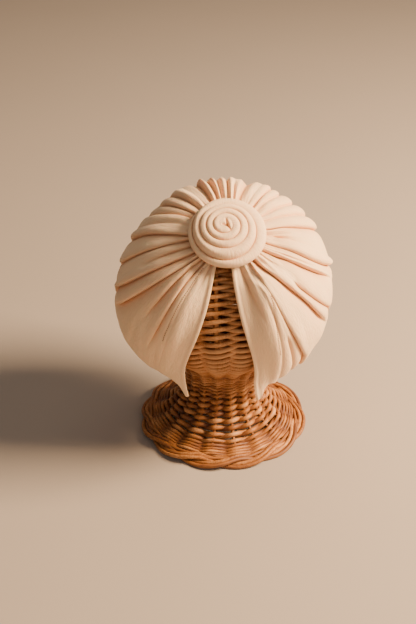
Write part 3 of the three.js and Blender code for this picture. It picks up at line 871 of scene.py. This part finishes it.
def groupTree(name, inputs):
    group = bpy.data.node_groups.new(name, "GeometryNodeTree")
    group.interface.new_socket("Geometry", in_out="INPUT", socket_type="NodeSocketGeometry")
    for label, kind in inputs.items():
        group.interface.new_socket(label, in_out="INPUT", socket_type="NodeSocket" + kind)
    group.interface.new_socket("Geometry", in_out="OUTPUT", socket_type="NodeSocketGeometry")
    tree = Tree(group)
    entry = group.nodes.new("NodeGroupInput")
    return group, tree, {o.name: Wire(tree, o) for o in entry.outputs if o.name}


def finishTree(tree, geometry, material):
    realized = tree.node("GeometryNodeRealizeInstances", {}, {"Geometry": geometry})
    shaded = tree.node("GeometryNodeSetShadeSmooth", {}, {"Geometry": realized})
    painted = tree.node("GeometryNodeSetMaterial", {}, {"Geometry": shaded, "Material": material})
    tree.feed(tree.tree.nodes.new("NodeGroupOutput").inputs[0], painted)


def rodTree():
    # a round rod along every line of the mesh, as thick as the line's own "thick"
    group, tree, given = groupTree("sweptRods", {"Sides": "Int", "Material": "Material"})
    curves = tree.node("GeometryNodeMeshToCurve", {}, {"Mesh": given["Geometry"]})
    circle = tree.node(
        "GeometryNodeCurvePrimitiveCircle", {}, {"Resolution": given["Sides"], "Radius": 1.0}
    )
    place = tree.node("GeometryNodeInputPosition")
    ring = tree.node(
        "GeometryNodeStoreNamedAttribute",
        {"data_type": "FLOAT_VECTOR", "domain": "POINT"},
        {"Geometry": circle, "Name": "around", "Value": place},
    )
    thick = tree.node("GeometryNodeInputNamedAttribute", {"data_type": "FLOAT"}, {"Name": "thick"})
    tubes = tree.node(
        "GeometryNodeCurveToMesh", {},
        {"Curve": curves, "Profile Curve": ring, "Scale": thick, "Fill Caps": True},
    )
    finishTree(tree, tubes, given["Material"])
    return group


def stitchTree():
    # one short rounded stitch after another along every line of the mesh
    group, tree, given = groupTree(
        "stitchRow", {"Pitch": "Float", "Length": "Float", "Thickness": "Float", "Material": "Material"}
    )
    curves = tree.node("GeometryNodeMeshToCurve", {}, {"Mesh": given["Geometry"]})
    spots = tree.node(
        "GeometryNodeResampleCurve", {"mode": "LENGTH"}, {"Curve": curves, "Length": given["Pitch"]}
    )
    tangent = tree.node("GeometryNodeInputTangent")
    turned = tree.node("FunctionNodeAlignRotationToVector", {"axis": "Z"}, {"Vector": tangent})
    bead = tree.node("GeometryNodeMeshIcoSphere", {}, {"Radius": 0.5, "Subdivisions": 2})
    size = tree.node(
        "ShaderNodeCombineXYZ", {}, {0: given["Thickness"], 1: given["Thickness"], 2: given["Length"]}
    )
    stitches = tree.node(
        "GeometryNodeInstanceOnPoints", {},
        {"Points": spots, "Instance": bead, "Rotation": turned, "Scale": size},
    )
    finishTree(tree, stitches, given["Material"])
    return group


def linesMesh(name, lines):
    # lines: dictionaries with points in mm and, where a rod needs them, closed, thick in mm and tone
    points, edges, thick, tone, along = [], [], [], [], []
    for line in lines:
        path = np.asarray(line["points"], float)
        first, count = len(points), len(path)
        points += inRow(path).tolist()
        edges += [(first + i, first + i + 1) for i in range(count - 1)]
        if line.get("closed"):
            edges.append((first + count - 1, first))
        thick += list(np.broadcast_to(line.get("thick", 0), count) / 1000)
        tone += list(np.broadcast_to(line.get("tone", 0), count))
        steps = np.linalg.norm(np.diff(path, axis=0), axis=1)
        along += list(np.concatenate([[0], np.cumsum(steps)]) / 1000)
    mesh = bpy.data.meshes.new(name)
    mesh.from_pydata(points, edges, [])
    for mark, values in (("thick", thick), ("tone", tone), ("along", along)):
        addMark(mesh, mark, values)
    return mesh


def grown(name, mesh, group, values):
    # runs a Geometry Nodes group on the mesh and keeps its result as a plain mesh
    carrier = linked(name + "Lines", mesh)
    modifier = carrier.modifiers.new("grow", "NODES")
    modifier.node_group = group
    sockets = {item.name: item.identifier for item in group.interface.items_tree if item.in_out == "INPUT"}
    for label, value in values.items():
        modifier[sockets[label]] = value
    carrier.update_tag()
    graph = bpy.context.evaluated_depsgraph_get()
    result = bpy.data.meshes.new_from_object(carrier.evaluated_get(graph), depsgraph=graph)
    result.name = name
    bpy.data.objects.remove(carrier)
    return linked(name, result)


rods, stitchRow = rodTree(), stitchTree()


# stitches along the seams

def onCloth(turn, away, lift):
    # the point of the cloth's outside at two angles: the columns slide, so the nearest one is looked for
    perGap = 40
    gaps = np.repeat(np.arange(lastCrease), perGap)
    shares = np.tile(np.arange(perGap) / perGap, lastCrease)
    turned, radius, _, _ = clothAt(gaps, shares, np.full(len(gaps), away))
    nearest = np.argmin(np.abs(turned - turn))
    return aroundBall(np.array([away]), turned[[nearest]], radius[[nearest]] + lift)[0]


def seamStitches():
    lines = []
    for seam in seams["rows"]:
        angles = np.arange(seam[0][0], seam[-1][0], 0.7)
        lines.append({"points": [onCloth(float(eased(a, seam, 1)), a, seams["lift"]) for a in angles]})
    values = {
        "Pitch": seams["pitch"] / 1000, "Length": seams["length"] / 1000,
        "Thickness": seams["thread"] / 1000, "Material": thread,
    }
    return settle(grown("seamStitches", linesMesh("seamLines", lines), stitchRow, values), "jersey")


seamStitches()
print("seams stitched")


# the woven stand

standSizes = {
    "ballRadius": 73.5,
    "turnsInAt": 52,
    "neckRadius": 32.3,
    "neckHeight": 53,
    "footRadius": 63.2,
    "footHeight": 8.6,
    "stakes": 17,
    "ballRow": 72.4,  # where one row of the ball lies, from the top of the ball down
    "footRow": 237.4,  # and one of the foot's
    "closesUpTo": 226,  # the foot's rows above this one move up to close on the neck's
    "samples": 9,  # points of a rod from one stake to the next
    "coveredTo": 55,  # rows above this one are under the cloth and have fewer points
    "coveredSamples": 5,
    "sides": 8,
    "wander": 0.18,
    "uneven": 0.06,  # share of a rod's thickness
    "tones": (0.3, 0.85),
    "toneDrift": 0.45,  # along one rod
    "lastRounds": [(62.7, 6.2), (64.6, 3.6)],  # radius and height of the foot's last rods, under the border
    "lastRoundThick": 1.35,
}
# Distance down the stand's side from the top of the ball; row pitch, rod radius, how far rods swing in
# and out, stake radius, degrees from the front to the first stake, how far the rods climb, how deep they
# sink between stakes, tone added. The tone added is painted light: paler on the ball, which lies in the
# crown's shade, and lower on the lit foot.
weaveRows = [
    (0, 6.50, 1.58, 0.75, 1.6, -7.6, 1.7, 0, 0.6),
    (60, 6.35, 1.60, 0.75, 1.8, -7.3, 1.7, 0, 0.6),
    (84, 6.45, 1.62, 0.75, 1.9, -6.3, 1.7, 0, 0.6),
    (95, 6.95, 1.66, 0.75, 1.9, -5.9, 1.75, 0, 0.6),
    (115, 7.10, 1.76, 0.75, 1.9, -5.4, 1.8, 0, 0.6),
    (140, 6.90, 1.84, 0.78, 1.9, -5.0, 1.8, 0, 0.6),
    (166, 6.40, 1.72, 0.75, 1.8, -5.0, 1.7, 0.2, 0.55),
    (177, 3.20, 1.30, 0.45, 1.4, -5.6, 0.9, 0.8, 0.45),
    (186, 2.60, 1.22, 0.30, 1.3, -7.0, 0.75, 1.2, 0.35),
    (215, 2.60, 1.24, 0.30, 1.3, -10.0, 0.75, 1.4, 0.1),
    (220, 4.50, 1.75, 0.65, 1.4, -10.4, 0.8, 1.8, 0.1),
    (228, 5.00, 1.97, 0.68, 1.4, -10.5, 0.85, 2.1, 0.1),
    (250, 4.80, 1.97, 0.68, 1.4, -10.5, 0.85, 2.1, 0.05),
    (256, 2.90, 1.42, 0.45, 1.3, -10.5, 0.8, 1.9, 0.0),
    (290, 2.75, 1.38, 0.35, 1.2, -10.5, 0.75, 0.8, 0.0),
]


def standSide():
    # the stand's outline as a dense line of radius and height, with the distance along it
    size = standSizes
    radius, low = size["ballRadius"], math.radians(-size["turnsInAt"])
    ball = [
        (radius * math.cos(a), ballCentre[2] + radius * math.sin(a))
        for a in np.linspace(math.pi / 2, low, 300)
    ]
    leaves = ball[-1]
    run = (leaves[0] - size["neckRadius"]) / math.sin(-low)
    corner = (size["neckRadius"], leaves[1] - run * math.cos(low))
    neckEnd = (size["neckRadius"], size["neckHeight"])
    t = np.linspace(0, 1, 80)[1:, None]
    neck = np.array(leaves) * (1 - t) ** 2 + 2 * np.array(corner) * t * (1 - t) + np.array(neckEnd) * t * t
    high, out = size["neckHeight"], size["footHeight"]
    nodes = [
        neckEnd,
        (size["neckRadius"] + 1, mix(out, high, 0.5)),
        (mix(size["neckRadius"], size["footRadius"], 0.4), mix(out, high, 0.12)),
        (size["footRadius"], out),
    ]
    a, b, c, d = (np.array(n) for n in nodes)
    foot = a * (1 - t) ** 3 + 3 * b * t * (1 - t) ** 2 + 3 * c * t * t * (1 - t) + d * t**3
    line = np.concatenate([ball, neck, foot])
    far = np.concatenate([[0], np.cumsum(np.linalg.norm(np.diff(line, axis=0), axis=1))])
    return line, far, far[len(ball) + len(neck) - 1]


sideLine, sideFar, neckFar = standSide()


def sideAt(far):
    # place, way down and way out of the stand's outline
    place = np.stack([np.interp(far, sideFar, sideLine[:, k]) for k in (0, 1)], -1)
    ahead = np.stack([np.interp(far + 0.4, sideFar, sideLine[:, k]) for k in (0, 1)], -1)
    behind = np.stack([np.interp(far - 0.4, sideFar, sideLine[:, k]) for k in (0, 1)], -1)
    down = unit(ahead - behind)
    return place, down, np.stack([-down[..., 1], down[..., 0]], -1)


def turnedTo(radius, height, angle):
    return np.stack([radius * np.sin(angle), -radius * np.cos(angle), height], -1)


def weaveRow(far, random):
    # one row: a rod that goes round twice and twists about itself, in front of one stake and behind
    # the next
    size = standSizes
    thick, swing, stake, first, climb, flute = (float(eased(far, weaveRows, k)) for k in range(2, 8))
    place, down, out = sideAt(np.array(far))
    samples = size["coveredSamples"] if far < size["coveredTo"] else size["samples"]
    count = 2 * size["stakes"] * samples
    angle = np.arange(count) / count * 4 * np.pi
    phase = angle * size["stakes"] / 2
    near = np.cos(phase)
    sink = thick + (thick + stake) * swing * (1 - near * (1.18 - 0.18 * near**2)) + flute * (1 - near**2)
    lift = np.sin(phase) * climb
    wander = size["wander"] * softNoise(angle * 5 + far, np.full(count, far * 3.1), 21)
    thickness = thick * (1 + size["uneven"] * softNoise(angle * 9, np.full(count, far * 1.7 + 7), 22))
    radius = place[0] - out[0] * sink - down[0] * (lift + wander)
    height = place[1] - out[1] * sink - down[1] * (lift + wander)
    drift = softNoise(angle * 1.3, np.full(count, far), 25)
    tone = random.uniform(*size["tones"]) + size["toneDrift"] * drift
    # the row's tone added is painted light, paler on the ball where the crown shades it; the rods are also
    # darker between stakes, where they sink deep, which is painted shade
    tone += float(eased(far, weaveRows, 8)) - (0.18 + 0.2 * flute) * (1 - near**2)  # darker between stakes
    return {
        "points": turnedTo(radius, height, angle + math.radians(first)), "closed": True,
        "thick": thickness, "tone": tone,
    }


def rowsFrom(start, lowest, highest):
    # where rows lie, going up and down from one of them
    up, down = [start], [start]
    while up[-1] > lowest:
        up.append(up[-1] - float(eased(up[-1], weaveRows, 1)))
    while down[-1] < highest:
        down.append(down[-1] + float(eased(down[-1], weaveRows, 1)))
    return [far for far in up[::-1] + down[1:] if lowest < far < highest]


def weave():
    random = np.random.default_rng(31)
    ballFar = rowsFrom(standSizes["ballRow"], 5, neckFar)
    footFar = rowsFrom(standSizes["footRow"], neckFar, sideFar[-1] - 1.2)
    # the rows at the neck close up, so that the foot's first row is one pitch below the neck's last
    slip = footFar[0] - ballFar[-1] - float(eased(neckFar, weaveRows, 1))
    footFar = [far - slip * float(1 - smooth(neckFar, standSizes["closesUpTo"], far)) for far in footFar]
    ball = [weaveRow(far, random) for far in ballFar]
    foot = [weaveRow(far, random) for far in footFar]
    count = 170
    angle = np.arange(count) / count * 2 * np.pi
    for radius, height in standSizes["lastRounds"]:
        swung = radius + 0.7 * np.cos((angle - math.radians(16)) * borderSizes["lobes"])
        foot.append({
            "points": turnedTo(swung, np.full(count, height), angle), "closed": True,
            "thick": standSizes["lastRoundThick"], "tone": float(random.uniform(0.3, 0.8)),
        })
    return ball, foot


def stakes():
    random = np.random.default_rng(32)
    size = standSizes
    ball, foot = [], []
    for k in range(size["stakes"]):
        # the stakes' tones are painted light too: paler on the ball, in the crown's shade, darker on the
        # lit foot
        for part, low, high, tones in (
            (ball, 7, neckFar + 1, (0.5, 1)), (foot, neckFar + 1.5, sideFar[-1] - 1, (0, 0.3))
        ):
            far = np.arange(low, high, 3.0)
            place, _, out = sideAt(far)
            _, thick, swing, stake, first = (eased(far, weaveRows, i) for i in range(1, 6))
            centre = place - out * (thick + (thick + stake) * swing)[:, None]
            angle = np.radians(first + 360 / size["stakes"] * k)
            part.append({
                "points": turnedTo(centre[:, 0], centre[:, 1], angle),
                "thick": stake, "tone": float(random.uniform(*tones)),
            })
    return ball, foot


borderSizes = {
    "lobes": 12,
    "firstNotch": 4.4,
    "rod": 1.7,
    "lean": 0.4,  # how much lower the outer rod of a strand lies
    "sides": 9,
}
# One strand from a notch to the notch after the next: degrees, radius of its middle, height of its middle.
borderPath = [
    (0, 66.2, 1.8),
    (7, 67.8, 2.3),
    (14, 68.4, 3.4),
    (21, 68.1, 4.9),
    (27, 66.7, 6.2),
    (32, 64.9, 6.9),
    (37, 63.3, 6.8),
    (42, 62.8, 5.8),
    (48, 63.3, 4.2),
    (54, 64.6, 2.6),
    (60, 66.2, 1.8),
]


def borderRods():
    # a flat rope of two strands, each of two rods: a strand passes over the other on its way in at a notch
    size = borderSizes
    random = np.random.default_rng(33)
    count = size["lobes"] * 30
    angle = np.arange(count) / count * 360
    lines = []
    for strand in (0, 30):
        for beside in (-1, 1):
            at = (angle + strand) % 60
            radius = eased(at, borderPath, 1) + beside * size["rod"] * 0.97
            wander = 0.16 * softNoise(angle / 9, np.full(count, strand / 7 + beside), 23)
            height = eased(at, borderPath, 2) - beside * size["lean"]
            height = np.maximum(height + wander, size["rod"])
            thick = size["rod"] * (1 + 0.06 * softNoise(angle / 8, np.full(count, strand / 5 + beside), 24))
            drift = softNoise(angle / 40, np.full(count, strand / 3 + beside), 26)
            tone = random.uniform(0, 0.5) + 0.5 * drift
            place = turnedTo(radius + wander, height, np.radians(angle + size["firstNotch"]))
            lines.append({"points": place, "closed": True, "thick": thick, "tone": tone})
    return lines


def woven(name, lines, sides, *nodes):
    rodInputs = {"Sides": sides, "Material": rattan}
    return settle(grown(name, linesMesh(name + "Rods", lines), rods, rodInputs), "rattan", *nodes)


ballRods, footRods = weave()
ballStakes, footStakes = stakes()
woven("ballWeave", ballRods, standSizes["sides"], "stand_ball")
woven("ballStakes", ballStakes, standSizes["sides"])
woven("footWeave", footRods, standSizes["sides"], "stand_foot")
woven("footStakes", footStakes, standSizes["sides"])
woven("borderRope", borderRods(), borderSizes["sides"], "stand_border")
print("stand woven")


# floor and light

stageLook = {
    "floorColour": (0.345, 0.29, 0.25),
    "floorPatches": 1.04,  # how much lighter its palest patches are
    "floorSize": 12.0,
    "world": (0.77, 0.68, 0.61),
    "worldStrength": 0.18,
}
# Where each lamp stands and what it looks at, in metres; its size, watts and colour.
lamps = {
    "key": {
        "at": (1.10, -0.10, 0.96), "to": (0, 0, 0.13),
        "size": 0.55, "watts": 100, "colour": (1, 0.72, 0.44),
    },
    "fill": {
        "at": (-1.1, -1.0, 0.8), "to": (0, 0, 0.12),
        "size": 1.6, "watts": 2.4, "colour": (1, 0.92, 0.85),
    },
    "front": {
        "at": (0.9, -1.5, 0.8), "to": (0, 0, 0.12),
        "size": 1.2, "watts": 6, "colour": (1, 0.87, 0.76),
    },
    "top": {
        "at": (0.1, 0.5, 1.5), "to": (0, 0, 0.15),
        "size": 1.2, "watts": 5, "colour": (1, 0.82, 0.64),
    },
}


def stage():
    made = Finish("paleFloor", Roughness=0.9)
    place = made.node("ShaderNodeTexCoord", {}, out="Object")
    soft = made.noise(place, 6.0, 2.0)
    colour = stageLook["floorColour"]
    paler = [c * stageLook["floorPatches"] for c in colour]
    made.give("Base Color", made.blend(soft, (*colour, 1), (*paler, 1)))
    half = stageLook["floorSize"] / 2
    corners = [(-half, -half, 0), (half, -half, 0), (half, half, 0), (-half, half, 0)]
    mesh = bpy.data.meshes.new("floor")
    mesh.from_pydata(corners, [], [(0, 1, 2, 3)])
    mesh.materials.append(made.material)
    linked("floor", mesh)
    world = bpy.data.worlds.new("studio")
    bpy.context.scene.world = world
    world.use_nodes = True
    background = world.node_tree.nodes["Background"]
    background.inputs[0].default_value = (*stageLook["world"], 1)
    background.inputs[1].default_value = stageLook["worldStrength"]
    for name, lamp in lamps.items():
        light = bpy.data.lights.new(name, "AREA")
        light.size, light.energy, light.color = lamp["size"], lamp["watts"], lamp["colour"]
        holder = bpy.data.objects.new(name, light)
        bpy.context.scene.collection.objects.link(holder)
        holder.location = lamp["at"]
        aim = Vector(lamp["to"]) - Vector(lamp["at"])
        holder.rotation_euler = aim.to_track_quat("-Z", "Y").to_euler()


stage()
print("floor and lamps placed")
